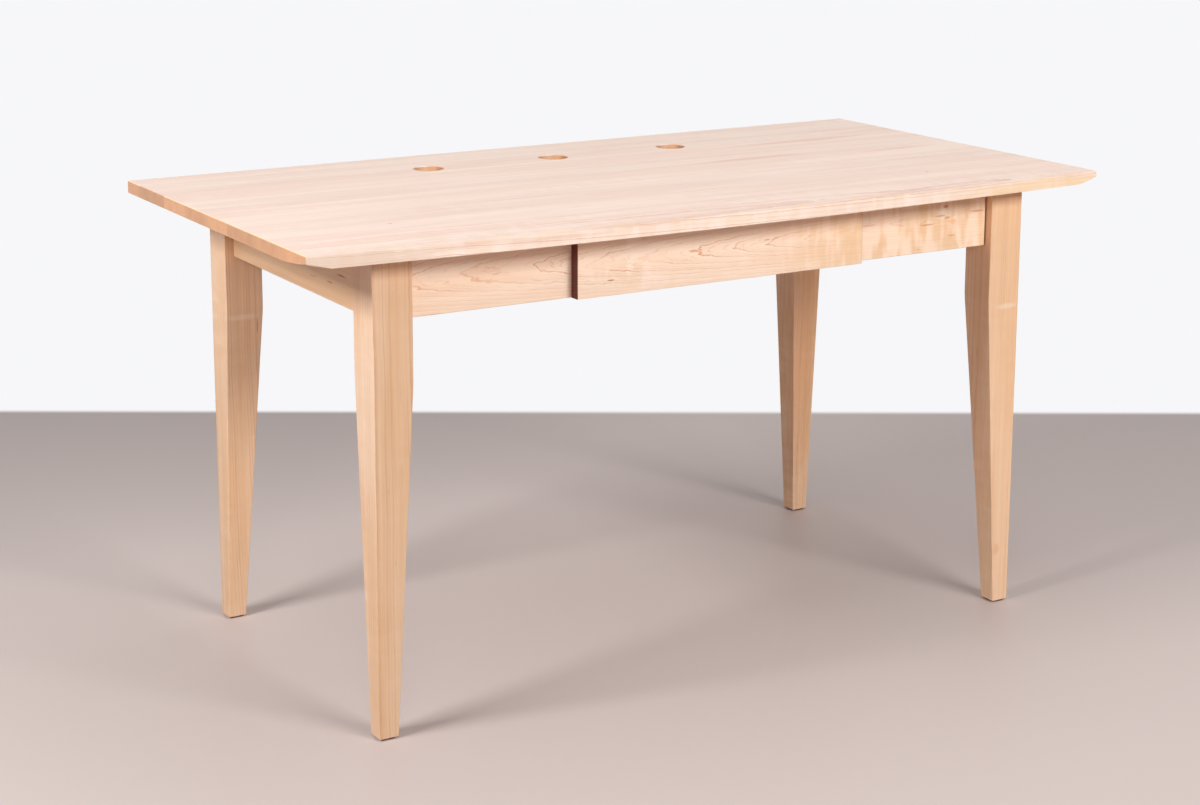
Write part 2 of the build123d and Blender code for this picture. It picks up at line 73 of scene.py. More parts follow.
class Nodes:
    """A node tree, with short calls for the nodes that the finishes are made of."""

    def __init__(self, tree):
        self.tree = tree

    def node(self, kind, **settings):
        made = self.tree.nodes.new(kind)
        for key, value in settings.items():
            setattr(made, key, value)
        return made

    def feed(self, socket, value):
        """Links another node's output into a socket, or writes a plain value there."""
        if isinstance(value, bpy.types.NodeSocket):
            self.tree.links.new(value, socket)
        elif socket.type == "VECTOR":
            socket.default_value = value[:3]
        else:
            socket.default_value = value

    def math(self, operation, first, second=0.0):
        made = self.node("ShaderNodeMath", operation=operation)
        self.feed(made.inputs[0], first)
        self.feed(made.inputs[1], second)
        return made.outputs[0]

    def vector_math(self, operation, first, second=(0.0, 0.0, 0.0)):
        made = self.node("ShaderNodeVectorMath", operation=operation)
        self.feed(made.inputs[0], first)
        self.feed(made.inputs[1], second)
        return made.outputs["Value" if operation in ("DOT_PRODUCT", "LENGTH") else "Vector"]

    def shade(self, colour, amount):
        """The colour times a grey amount."""
        made = self.node("ShaderNodeVectorMath", operation="SCALE")
        self.feed(made.inputs[0], colour)
        self.feed(made.inputs["Scale"], amount)
        return made.outputs["Vector"]

    def place(self, along, across=0.0, deep=0.0):
        made = self.node("ShaderNodeCombineXYZ")
        for socket, value in zip(made.inputs, (along, across, deep)):
            self.feed(socket, value)
        return made.outputs[0]

    def between(self, value, low, high, to_low=0.0, to_high=1.0):
        """A smooth step: to_low below the first level, to_high above the second."""
        made = self.node("ShaderNodeMapRange", interpolation_type="SMOOTHSTEP")
        for socket, number in zip(made.inputs, (value, low, high, to_low, to_high)):
            self.feed(socket, number)
        return made.outputs[0]

    def noise(self, vector, detail=2.0, output="Fac"):
        made = self.node("ShaderNodeTexNoise")
        self.feed(made.inputs["Vector"], vector)
        made.inputs["Scale"].default_value = 1.0
        made.inputs["Detail"].default_value = detail
        return made.outputs[output]

    def mix(self, amount, first, second):
        made = self.node("ShaderNodeMix", data_type="RGBA")
        self.feed(made.inputs["Factor"], amount)
        self.feed(made.inputs[6], first)
        self.feed(made.inputs[7], second)
        return made.outputs[2]


class Shader(Nodes):
    """The nodes of a new material, whose surface is the Principled BSDF."""

    def __init__(self, name):
        self.material = bpy.data.materials.new(name)
        self.material.use_nodes = True
        super().__init__(self.material.node_tree)
        self.surface = self.tree.nodes["Principled BSDF"]

    def bump(self, height, depth):
        made = self.node("ShaderNodeBump")
        made.inputs["Strength"].default_value = 1.0
        made.inputs["Distance"].default_value = depth
        self.feed(made.inputs["Height"], height)
        self.feed(self.surface.inputs["Normal"], made.outputs[0])


# ---------------------------------------------------------------- kinds of maple
@dataclass
class Wood:
    """How one kind of maple on the desk looks: its colours, and how strong each part of its figure is."""

    light: tuple  # its two main tones
    warm: tuple
    line: tuple  # the dark line that ends a year's growth, and the brown flecks
    stain: tuple  # mineral streaks
    end: tuple  # end grain
    rings: float
    stains: float
    curl: float
    flecks: float
    curly: float = 0.05  # the share of the curl that shows outside the curly parts
    rim: tuple = None  # a board's long edges and its golden part; if not given, as light
    arris: tuple = None  # the rounded edges round the end grain; on the top a painted highlight; if not given, as end

    def __post_init__(self):
        self.rim = self.rim or self.light
        self.arris = self.arris or self.end


# The top's arris colour is a painted highlight: a bright orange line along the rounded edges above the end
# grain.
TOP_WOOD = Wood(
    light=srgb(244, 219, 202), warm=srgb(238, 208, 190), line=srgb(208, 154, 126),
    stain=srgb(231, 190, 171), end=srgb(205, 153, 113), rim=srgb(248, 223, 202),
    arris=srgb(255, 216, 166), rings=0.13, stains=0.50, curl=0.035, curly=0.15, flecks=0.55,
)
FRONT_EDGE_WOOD = replace(TOP_WOOD, rim=srgb(254, 234, 216), rings=0.70, curl=0.06, curly=0.4)
# Partly painted shade: the bored board's darker rim and arris colours darken the cord holes' walls, as for
# shade inside the holes.
BORED_WOOD = replace(
    TOP_WOOD, rim=srgb(224, 180, 144), arris=srgb(216, 168, 130), curl=0.03, curly=0.05,
)
# Its end colour is partly painted shade: the drawer front's ends are dark red-brown, darker than end grain
# alone.
APRON_WOOD = Wood(
    light=srgb(252, 230, 208), warm=srgb(250, 222, 196), line=srgb(206, 116, 40),
    stain=srgb(232, 178, 140), end=srgb(98, 30, 8), rim=srgb(246, 207, 163),
    rings=0.75, stains=0.12, curl=0.10, flecks=0.7,
)
# Partly painted shade: the side aprons' tones are darker and more orange, as for wood in shade under the
# top's ends.
SIDE_WOOD_WITH_PAINTED_SHADE = Wood(
    light=srgb(240, 202, 160), warm=srgb(230, 188, 144), line=srgb(160, 104, 70),
    stain=srgb(184, 128, 92), end=srgb(176, 124, 88),
    rings=0.35, stains=0.35, curl=0.02, flecks=0.3,
)
LEG_WOOD = Wood(
    light=srgb(244, 207, 171), warm=srgb(240, 198, 157), line=srgb(194, 118, 76),
    stain=srgb(216, 162, 122), end=srgb(186, 134, 98),
    rings=0.40, stains=0.20, curl=0.04, curly=0.3, flecks=0.35,
)
BACK_WOOD = Wood(
    light=srgb(247, 215, 185), warm=srgb(243, 206, 172), line=srgb(196, 126, 88),
    stain=srgb(222, 170, 132), end=srgb(186, 134, 98),
    rings=0.45, stains=0.15, curl=0.03, flecks=0.4,
)
INNER_WOOD = Wood(
    light=srgb(236, 204, 171), warm=srgb(229, 193, 156), line=srgb(196, 148, 112),
    stain=srgb(214, 170, 136), end=srgb(190, 144, 106),
    rings=0.35, stains=0.20, curl=0.02, flecks=0.2,
)
CURL_TINT = (0.55, 1.0, 1.9)  # red is curled least and blue most, so its dark side is the redder one

# A place is in millimetres in the desk's own frame, and half is half the spot's size along X, Y and Z.
# Lift is how many millimetres a knot moves the rings, and amount how much of a mark's colour covers.
Knot = namedtuple("Knot", "place half lift")
Mark = namedtuple("Mark", "place half colour amount")


@dataclass
class Log:
    """The log that a piece is cut from, with lengths in millimetres."""

    pith: tuple  # its centre: how far across the board, and how far below the board's middle
    seed: float = 0.0
    ring: float = 3.4  # the width of a year's growth
    uneven: float = 3.6  # how many years the rings may run ahead of an even count
    ripple: float = 0.55  # how many years a ring's line waves in and out
    wander: float = 4.0  # how far the centre strays from a straight line
    taper: float = 0.0  # how far the rings sink for each millimetre along the board
    line_start: float = 0.82  # the share of a year's growth after which its dark line starts
    faintest: float = 0.12  # how dark the weakest year's line is beside the strongest
    tips: tuple = ()  # where along the board's face a line turns back; ring then counts past them alone
    golden_past: float = None  # where along the board, from its middle, the wood turns golden and curly
    knots: tuple = ()


# ---------------------------------------------------------------- the patterns that maple is made of
# Noise stretched along the grain: its length along it and its width across it, in millimetres, and its
# detail. It gives the value outside where the noise is low, and the value inside where it is high.
Pattern = namedtuple("Pattern", "length width detail low high outside inside", defaults=(0, 1, 0, 1))
SWAY = Pattern(260.0, 120.0, 1.5)
RIPPLE = Pattern(24.0, 9.0, 3.0)
LINE_STRENGTH = Pattern(130.0, 12.0, 2.0, low=0.32, high=0.60, outside=0.45)
PAUSE_STRENGTH = Pattern(90.0, 10.0, 2.0, low=0.35, high=0.65, outside=0.05, inside=0.40)
TONE = Pattern(520.0, 42.0, 2.0, low=0.36, high=0.64)
STAIN = Pattern(240.0, 12.0, 3.0, low=0.48, high=0.74)
STAINED_PART = Pattern(640.0, 60.0, 1.0, low=0.35, high=0.60, outside=0.25)
FIBRE = Pattern(38.0, 0.75, 3.0, low=0.25, high=0.75, outside=0.97, inside=1.03)
STREAKS = Pattern(380.0, 7.0, 3.0, low=0.3, high=0.7, outside=0.975, inside=1.02)
CURL = Pattern(20.0, 70.0, 1.5, low=0.38, high=0.66, outside=-0.4)
CURLY_PART = Pattern(150.0, 60.0, 1.5, low=0.50, high=0.66)
RAGGED = Pattern(45.0, 3.5, 3.0)
PORES = Pattern(9.0, 0.6, 2.0, low=0.3, high=0.7, outside=0.94, inside=1.04)
END_PATCHES = Pattern(80.0, 24.0, 1.0, low=0.3, high=0.7, outside=0.95, inside=1.05)

LOG_SPACING = 1700.0  # millimetres along the grain from one seed's patterns to the next one's
DRIFT_LENGTH = 19.0  # millimetres of growth over which the rings' width changes
YEAR_PEAK = 0.95  # the share of a year's growth at which its dark line is darkest
YEAR_LUCK = (0.3, 0.95)  # the luck between which a year's line grows from the faintest to the strongest
YEARS_BY_SEED = 10.0  # the years that one seed's luck is ahead of another's
PAUSES = 3  # fainter lines in a year's growth
PAUSE_START = 0.70  # the share of the time between two pauses after which a pause's line starts
PAUSE_PEAK = 0.92
SUMMER_START = 0.05  # the share of a year's growth after which the wood starts to darken
SUMMER_TINT = 0.10
END_SHADES = (1.02, 0.965)  # end grain in spring and in late summer
RIM_TINT = 0.85
EDGE_CURL = 2.0  # how much bolder curl is on a board's edges
FLECK_CELL = (60.0, 11.0)  # the wood that one fleck may lie in: millimetres along the grain and across
FLECK_LUCK = (0.86, 0.88)  # the luck that gives a cell its fleck
FLECK_RIM = (0.03, 0.10)  # where a fleck fades out, as shares of its cell
MARK_RIM = (0.4, 1.1)  # where a mark fades out, as shares of its half size
MARK_RAGGED = 1.1
GOLDEN_BLEND = (-220.0, 60.0)  # millimetres from where the wood turns golden
GOLDEN_TINT = 0.6
GOLDEN_CURL = 1.9

# How squarely the surface faces a way where a rounded edge turns from one look to the next.
EDGE_TURN = (0.3, 0.7)  # from a board's edges to its faces
END_TURN = (0.15, 0.5)  # from the long grain to the arris
ARRIS_TURN = (0.75, 0.97)  # from the arris to the end grain

# The satin finish, and how high each part of the figure stands or lies, as shares of the relief.
FINISH_IOR = 1.45
ROUGHNESS = (0.38, 0.48)
ROUGHNESS_FIBRE = (0.2, 0.8)
COAT_WEIGHT = 0.1
COAT_ROUGHNESS = 0.3
RELIEF = 0.05 * MM
CURL_HEIGHT = 0.8
FIBRE_HEIGHT = 0.35
LINE_DEPTH = 0.25


class Maple(Shader):
    """The shader of a piece of maple, which knows where in its log each point of the piece lies."""

    def __init__(self, node, log, grain, face):
        super().__init__(f"maple_{node}")
        self.log = log
        through = grain.cross(face)
        low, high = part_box(node)
        self.half_thickness = abs((high - low).dot(through)) / 2 / MM
        pith = (low + high) / 2 + (face * log.pith[0] - through * log.pith[1]) * MM
        coordinates = self.node("ShaderNodeTexCoord")
        self.position = coordinates.outputs["Object"]
        self.normal = coordinates.outputs["Normal"]

        # In millimetres: along the log, and the two ways across it.
        offset = self.vector_math("SUBTRACT", self.position, pith)
        self.along = self.vector_math("DOT_PRODUCT", offset, grain / MM)
        self.across = self.vector_math("DOT_PRODUCT", offset, face / MM)
        self.deep = self.vector_math("DOT_PRODUCT", offset, through / MM)
        self.far = self.math("ADD", self.along, log.seed * LOG_SPACING)

        self.on_face = self.facing(through)
        self.on_end = self.facing(grain)

    def facing(self, direction):
        """1 where the surface faces straight along a direction, either way, and 0 where it runs along it."""
        return self.math("ABSOLUTE", self.vector_math("DOT_PRODUCT", self.normal, direction))

    def apart(self, spot):
        """How far the point lies from a spot: 0 at its middle, 1 at its rim."""
        offset = self.vector_math("SUBTRACT", self.position, Vector(spot.place) * MM)
        return self.vector_math("LENGTH", self.vector_math("DIVIDE", offset, Vector(spot.half) * MM))

    def stretched(self, length, width):
        """The point's place in the log, in steps of so many millimetres along it and across it."""
        return self.place(
            self.math("DIVIDE", self.far, length),
            self.math("DIVIDE", self.across, width),
            self.math("DIVIDE", self.deep, width),
        )

    def grown(self, pattern, output="Fac"):
        """A pattern's bare noise."""
        return self.noise(self.stretched(pattern.length, pattern.width), pattern.detail, output)

    def spread(self, pattern):
        """A pattern's values, from outside it to inside it."""
        return self.between(self.grown(pattern), *pattern[-4:])

    def rise(self, share, start, peak):
        """Grows from 0 to 1 between two shares of a cycle, and is back at 0 when the cycle ends."""
        return self.math(
            "MULTIPLY", self.between(share, start, peak), self.between(share, peak, 1.0, 1.0, 0.0),
        )

    def radius(self):
        """The distance from the log's centre. The log wanders and tapers, and knots lift its rings."""
        sway = self.vector_math("SUBTRACT", self.grown(SWAY, "Color"), (0.5, 0.5, 0.5))
        sway = self.vector_math("MULTIPLY", sway, (2 * self.log.wander, 2 * self.log.wander, 0.0))
        lean = self.math("MULTIPLY", self.along, self.log.taper)
        section = self.place(self.across, self.math("ADD", self.deep, lean))
        radius = self.vector_math("LENGTH", self.vector_math("ADD", section, sway))
        for knot in self.log.knots:
            radius = self.math("ADD", radius, self.between(self.apart(knot), 0.0, 1.0, knot.lift, 0.0))
        return radius

    def years_between_tips(self, radius):
        """Counts the years so that one ends at each tip, and past the tips one for each ring."""
        face_depth = self.log.pith[1] + self.half_thickness
        ends = sorted(face_depth + self.log.taper * tip for tip in self.log.tips)
        inside = self.math("MINIMUM", self.math("SUBTRACT", radius, ends[0]), 0.0)
        outside = self.math("MAXIMUM", self.math("SUBTRACT", radius, ends[-1]), 0.0)
        count = self.math("DIVIDE", self.math("ADD", inside, outside), self.log.ring)
        for start, end in zip(ends, ends[1:]):
            year = self.node("ShaderNodeMapRange")
            self.feed(year.inputs["Value"], radius)
            year.inputs["From Min"].default_value = start
            year.inputs["From Max"].default_value = end
            count = self.math("ADD", count, year.outputs[0])
        return count

    def years(self):
        """How many years the tree had grown here, with the fraction of the last one."""
        radius = self.radius()
        if self.log.tips:
            count = self.years_between_tips(radius)
        else:
            count = self.math("DIVIDE", radius, self.log.ring)
        ripple = self.math("MULTIPLY", self.grown(RIPPLE), self.log.ripple)
        drift = self.noise(self.place(self.math("DIVIDE", radius, DRIFT_LENGTH)), 1.0)
        drift = self.math("MULTIPLY", drift, self.log.uneven)
        return self.math("ADD", count, self.math("ADD", ripple, drift))

    def growth(self):
        """The thin dark lines of the rings, and the wood that darkens a little through each year.

        Some years' lines are much stronger than others, and fainter ones mark pauses inside a year.
        """
        years = self.years()
        share = self.math("FRACT", years)
        luck = self.node("ShaderNodeTexWhiteNoise", noise_dimensions="1D")
        this_year = self.math("FLOOR", self.math("ADD", years, self.log.seed * YEARS_BY_SEED))
        self.feed(luck.inputs["W"], this_year)
        strong = self.between(luck.outputs["Value"], *YEAR_LUCK, self.log.faintest, 1.0)
        strong = self.math("MULTIPLY", strong, self.spread(LINE_STRENGTH))
        line = self.math("MULTIPLY", self.rise(share, self.log.line_start, YEAR_PEAK), strong)
        pause = self.math("FRACT", self.math("MULTIPLY", years, PAUSES))
        pause = self.rise(pause, PAUSE_START, PAUSE_PEAK)
        pause = self.math("MULTIPLY", pause, self.spread(PAUSE_STRENGTH))
        summer = self.rise(share, SUMMER_START, YEAR_PEAK)
        return self.math("MAXIMUM", line, pause), summer

    def long_grain(self, wood, line, summer):
        """The colour of the long-grain faces. A board's long edges may show another tone."""
        colour = self.mix(self.spread(TONE), wood.light, wood.warm)
        if wood.rim != wood.light:
            colour = self.mix(self.between(self.on_face, *EDGE_TURN, RIM_TINT, 0.0), colour, wood.rim)
        stained = self.math("MULTIPLY", self.spread(STAIN), self.spread(STAINED_PART))
        colour = self.mix(self.math("MULTIPLY", stained, wood.stains), colour, wood.stain)
        colour = self.mix(self.math("MULTIPLY", summer, SUMMER_TINT * wood.rings), colour, wood.line)
        return self.mix(self.math("MULTIPLY", line, wood.rings), colour, wood.line)

    def golden(self):
        """1 in the board's golden, curly part, and 0 in the rest."""
        start, end = (self.log.golden_past + blend for blend in GOLDEN_BLEND)
        return self.between(self.along, start, end)

    def curl(self, curly):
        """Bands across the grain, where the fibres dip in and out. They are bolder on a board's edges."""
        band = self.math("MULTIPLY", self.spread(CURL), curly)
        return self.math("MULTIPLY", band, self.between(self.on_face, *EDGE_TURN, EDGE_CURL, 1.0))

    def shaded(self, wood, colour, fibre, band, level):
        """The colour with its fibres, broad streaks and curl."""
        shading = self.between(fibre, FIBRE.low, FIBRE.high, FIBRE.outside * level, FIBRE.inside * level)
        shading = self.math("MULTIPLY", shading, self.spread(STREAKS))
        glow = self.shade(CURL_TINT, self.math("MULTIPLY", band, wood.curl))
        glow = self.vector_math("ADD", glow, (1.0, 1.0, 1.0))
        return self.vector_math("MULTIPLY", self.shade(colour, shading), glow)

    def flecked(self, wood, colour):
        """The colour with small brown flecks, each as long as a grain of rice."""
        cells = self.node("ShaderNodeTexVoronoi")
        cells.inputs["Scale"].default_value = 1.0
        self.feed(cells.inputs["Vector"], self.stretched(*FLECK_CELL))
        luck = self.vector_math("DOT_PRODUCT", cells.outputs["Color"], X_AXIS)
        fleck = self.between(cells.outputs["Distance"], *FLECK_RIM, 1.0, 0.0)
        fleck = self.math("MULTIPLY", fleck, self.between(luck, *FLECK_LUCK))
        return self.mix(self.math("MULTIPLY", fleck, wood.flecks), colour, wood.line)

    def marked(self, colour, marks):
        """The colour with single marks, each at its own place and with a ragged rim."""
        ragged = self.math("MULTIPLY", self.math("SUBTRACT", self.grown(RAGGED), 0.5), MARK_RAGGED)
        for mark in marks:
            distance = self.math("ADD", self.apart(mark), ragged)
            colour = self.mix(self.between(distance, *MARK_RIM, mark.amount, 0.0), colour, mark.colour)
        return colour

    def end_grained(self, wood, colour, summer, level):
        """The colour with the ends' own: they drink more finish, and show faint rings and pores."""
        shading = self.math("MULTIPLY", self.spread(PORES), self.spread(END_PATCHES))
        spring_shade, summer_shade = (shade * level for shade in END_SHADES)
        rings = self.between(summer, 0.0, 1.0, spring_shade, summer_shade)
        # The end colour is partly painted shade on the drawer front.
        end = self.shade(wood.end, self.math("MULTIPLY", shading, rings))
        # The arris colour is a painted highlight on the top, and partly painted shade on the cord holes'
        # walls.
        end = self.mix(self.between(self.on_end, *ARRIS_TURN), wood.arris, end)
        return self.mix(self.between(self.on_end, *END_TURN), colour, end)

    def finish(self, colour, fibre, band, line):
        """A clear satin finish over fibres, curl and rings that can just be felt."""
        self.feed(self.surface.inputs["Base Color"], colour)
        roughness = self.between(fibre, *ROUGHNESS_FIBRE, *ROUGHNESS)
        self.feed(self.surface.inputs["Roughness"], roughness)
        self.surface.inputs["IOR"].default_value = FINISH_IOR
        self.surface.inputs["Coat Weight"].default_value = COAT_WEIGHT
        self.surface.inputs["Coat Roughness"].default_value = COAT_ROUGHNESS
        raised = self.math("MULTIPLY", band, CURL_HEIGHT)
        height = self.math("SUBTRACT", raised, self.math("MULTIPLY", line, LINE_DEPTH))
        self.bump(self.math("ADD", height, self.math("MULTIPLY", fibre, FIBRE_HEIGHT)), RELIEF)


def maple(node, wood, grain, face, log, level=1.0, end_level=1.0, marks=()):
    """Solid maple for a node: grain runs along the log, and face across the board.

    Level is how light the long grain is, and end_level how light the end grain is.
    """
    shader = Maple(node, log, grain, face)
    line, summer = shader.growth()
    fibre = shader.grown(FIBRE)
    colour = shader.long_grain(wood, line, summer)
    curly = shader.spread(CURLY_PART._replace(outside=wood.curly))
    if log.golden_past is not None:
        golden = shader.golden()
        colour = shader.mix(shader.math("MULTIPLY", golden, GOLDEN_TINT), colour, wood.rim)
        curly = shader.math("MAXIMUM", curly, shader.math("MULTIPLY", golden, GOLDEN_CURL))
    band = shader.curl(curly)
    colour = shader.shaded(wood, colour, fibre, band, level)
    colour = shader.flecked(wood, colour)
    colour = shader.marked(colour, marks)
    colour = shader.end_grained(wood, colour, summer, end_level)
    shader.finish(colour, fibre, band, line)
    return shader.material


# ---------------------------------------------------------------- other finishes
PEBBLE = (900.0, 900.0, 900.0)  # pebbles to the metre, along X, Y and Z
PEBBLE_HEIGHT = 0.15 * MM
RUBBER_ROUGHNESS = (0.7, 0.9)
BRUSHING = (4000.0, 4000.0, 500.0)  # brush marks to the metre, along X, Y and Z
BRUSHING_HEIGHT = 0.02 * MM
STEEL_ROUGHNESS = (0.26, 0.42)
MOTTLE = (0.3, 0.7)  # the noise between which a surface goes from its smoothest to its roughest


def rubber():
    """Black foot pads: matt, with a fine pebble."""
    shader = Shader("black_rubber")
    coordinates = shader.node("ShaderNodeTexCoord")
    place = shader.vector_math("MULTIPLY", coordinates.outputs["Object"], PEBBLE)
    grain = shader.noise(place, 3.0)
    colour = shader.mix(grain, srgb(34, 31, 30), srgb(58, 54, 52))
    shader.feed(shader.surface.inputs["Base Color"], colour)
    roughness = shader.between(grain, *MOTTLE, *RUBBER_ROUGHNESS)
    shader.feed(shader.surface.inputs["Roughness"], roughness)
    shader.bump(grain, PEBBLE_HEIGHT)
    return shader.material


def steel():
    """Plated wood screws with a faint brushing."""
    shader = Shader("plated_steel")
    coordinates = shader.node("ShaderNodeTexCoord")
    place = shader.vector_math("MULTIPLY", coordinates.outputs["Object"], BRUSHING)
    brush = shader.noise(place, 3.0)
    colour = shader.mix(brush, srgb(178, 168, 150), srgb(206, 200, 188))
    shader.feed(shader.surface.inputs["Base Color"], colour)
    roughness = shader.between(brush, *MOTTLE, *STEEL_ROUGHNESS)
    shader.feed(shader.surface.inputs["Roughness"], roughness)
    shader.surface.inputs["Metallic"].default_value = 1.0
    shader.bump(brush, BRUSHING_HEIGHT)
    return shader.material


# ---------------------------------------------------------------- every CAD piece gets its finish
def dress(node, material):
    """Puts a material on a CAD node."""
    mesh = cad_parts[node].data
    mesh.materials.clear()
    mesh.materials.append(material)


def dress_maple(node, wood, grain, face, log, **looks):
    dress(node, maple(node, wood, grain, face, log, **looks))


BROWN = srgb(164, 86, 48)
GOLDEN_BROWN = srgb(200, 112, 52)
AMBER = srgb(238, 174, 112)
# Painted shade for a leg's shaded face.
PAINTED_SHADE_TAN = srgb(228, 160, 104)
STREAK = srgb(224, 172, 150)
CREAM = srgb(255, 238, 214)
PALE = srgb(255, 240, 220)
# Painted light for a leg's lit face.
PAINTED_LIGHT_LEG = srgb(250, 226, 204)
FRONT_TONE = srgb(251, 225, 200)  # about the drawer front's own, for a calmer spot in its figure

# The faces that marks lie on, in millimetres.
TOP_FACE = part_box("top_board_1")[1].z / MM
APRON_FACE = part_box("apron_front")[0].y / MM
DRAWER_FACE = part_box("drawer_front")[0].y / MM
SIDE_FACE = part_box("apron_left")[0].x / MM
LEFT_LEG_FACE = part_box("leg_front_left")[0].x / MM
FRONT_LEG_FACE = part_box("leg_front_left")[0].y / MM
BACK_LEG_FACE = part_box("leg_back_left")[0].y / MM

# The boards from the back to the front, each from a log of its own.
Board = namedtuple("Board", "pith level end_level")
BOARDS = (
    Board((20, 90), 1.0, 1.0),
    Board((-35, 150), 0.985, 0.86),
    Board((30, 60), 1.01, 1.06),
    Board((-10, 120), 0.99, 0.95),
    Board((45, 80), 1.01, 1.06),
    Board((-20, 170), 0.985, 0.90),
    Board((15, 70), 1.0, 0.97),
    Board((-30, 110), 1.01, 1.08),
)
BORED_BOARD = 2  # the board that the three cord holes go through
FRONT_EDGE_BOARD = 8
BOARD_TAPER = 0.012
BOARD_RINGS = (2.4, 2.7, 3.0)  # the widths of a year's growth, which the boards take in turn
TOP_MARKS = {
    3: (
        Mark((517, 186, TOP_FACE), (170, 12, 8), STREAK, 0.6),
        Mark((540, 174, TOP_FACE), (60, 5, 8), STREAK, 0.5),
    ),
    4: (Mark((306, 57, TOP_FACE), (140, 14, 8), STREAK, 0.55),),
    5: (Mark((619, 18, TOP_FACE), (110, 12, 8), STREAK, 0.55),),
    7: (
        Mark((-543, -192, TOP_FACE), (6, 3, 8), BROWN, 0.6),
        Mark((493, -225, TOP_FACE), (5, 3, 8), BROWN, 0.6),
    ),
    FRONT_EDGE_BOARD: (
        Mark((28, -290, TOP_FACE), (26, 2, 8), BROWN, 0.3),
        Mark((-740, -375, 782), (240, 30, 24), srgb(229, 204, 183), 0.6),
        Mark((650, -375, 780), (330, 18, 16), srgb(248, 212, 160), 0.55),
        Mark((318, -391, 786), (9, 10, 20), PALE, 0.45),
        Mark((250, -391, 786), (6, 10, 20), PALE, 0.35),
        Mark((-300, -391, 786), (7, 10, 20), PALE, 0.30),
    ),
}


def dress_top():
    """Eight boards. The bored one and the front one have woods of their own."""
    woods = {BORED_BOARD: BORED_WOOD, FRONT_EDGE_BOARD: FRONT_EDGE_WOOD}
    for number, board in enumerate(BOARDS, start=1):
        taper = BOARD_TAPER if number % 2 == 0 else -BOARD_TAPER
        log = Log(board.pith, seed=number, ring=BOARD_RINGS[number % 3], taper=taper)
        if number == FRONT_EDGE_BOARD:
            log = replace(log, ring=4.6, line_start=0.6)
        dress_maple(
            f"top_board_{number}", woods.get(number, TOP_WOOD), X_AXIS, Y_AXIS, log,
            level=board.level, end_level=board.end_level, marks=TOP_MARKS.get(number, ()),
        )


# Each leg's level is partly painted light and shade: the left legs are darker and the right ones lighter.
LEG_LEVELS_WITH_PAINTED_LIGHT = {"front_left": 0.88, "front_right": 1.02, "back_left": 0.91, "back_right": 1.06}
LEG_MARKS = {
    "front_left": (
        Mark((-568, FRONT_LEG_FACE, 660), (0.9, 8, 60), BROWN, 0.40),
        # Painted light: a pale wash that lightens the middle of the leg's lit left face.
        Mark((LEFT_LEG_FACE, -290, 540), (3, 60, 200), PAINTED_LIGHT_LEG, 0.36),
    ),
    "front_right": (
        # Painted highlight: a pale band across the front face at the knee.
        Mark((608, FRONT_LEG_FACE, 557), (27, 6, 6), PALE, 0.40),
        Mark((568, -304, 484), (3, 3, 6), BROWN, 0.7),
        Mark((605, FRONT_LEG_FACE, 102), (9, 8, 14), srgb(226, 160, 112), 0.4),
    ),
    "back_left": (
        # Painted highlight: a pale band across the front face at the knee.
        Mark((-605, BACK_LEG_FACE, 559), (36, 20, 7), PALE, 0.25),
        Mark((-578, BACK_LEG_FACE, 542), (2.2, 20, 16), BROWN, 0.45),
    ),
    "back_right": (
        Mark((567, 314, 434), (8, 5, 18), BROWN, 0.30),
        Mark((617, BACK_LEG_FACE, 315), (2, 14, 14), BROWN, 0.30),
        # Painted shade: a tan wash that darkens the leg's lower front, where it lies in shade under the
        # frame.
        Mark((603, 286, 300), (45, 34, 420), PAINTED_SHADE_TAN, 0.38),
    ),
}


def dress_legs():
    """Straight grain: the rings pass through each leg at a slant, another one in each leg."""
    for number, leg in enumerate(LEG_LEVELS_WITH_PAINTED_LIGHT):
        log = Log(
            pith=(95 + 12 * number, 105 - 9 * number), seed=11 + number, ring=6.0, ripple=0.25,
            line_start=0.55, faintest=0.1,
        )
        dress_maple(
            f"leg_{leg}", LEG_WOOD, Z_AXIS, X_AXIS, log, level=LEG_LEVELS_WITH_PAINTED_LIGHT[leg], marks=LEG_MARKS[leg],
        )
        dress(f"foot_pad_{leg}", RUBBER)


# The front apron and the drawer's front are cut from one board, so their figure runs on.
FRONT_BOARD = Log(
    pith=(4, 27), seed=21, ring=3.8, uneven=0.0, ripple=0.65, wander=1.5, taper=-0.048, line_start=0.86,
    faintest=0.5, tips=(-532, -369, -297, -190, -79, 3, 61, 148, 207, 253, 330), golden_past=250.0,
)


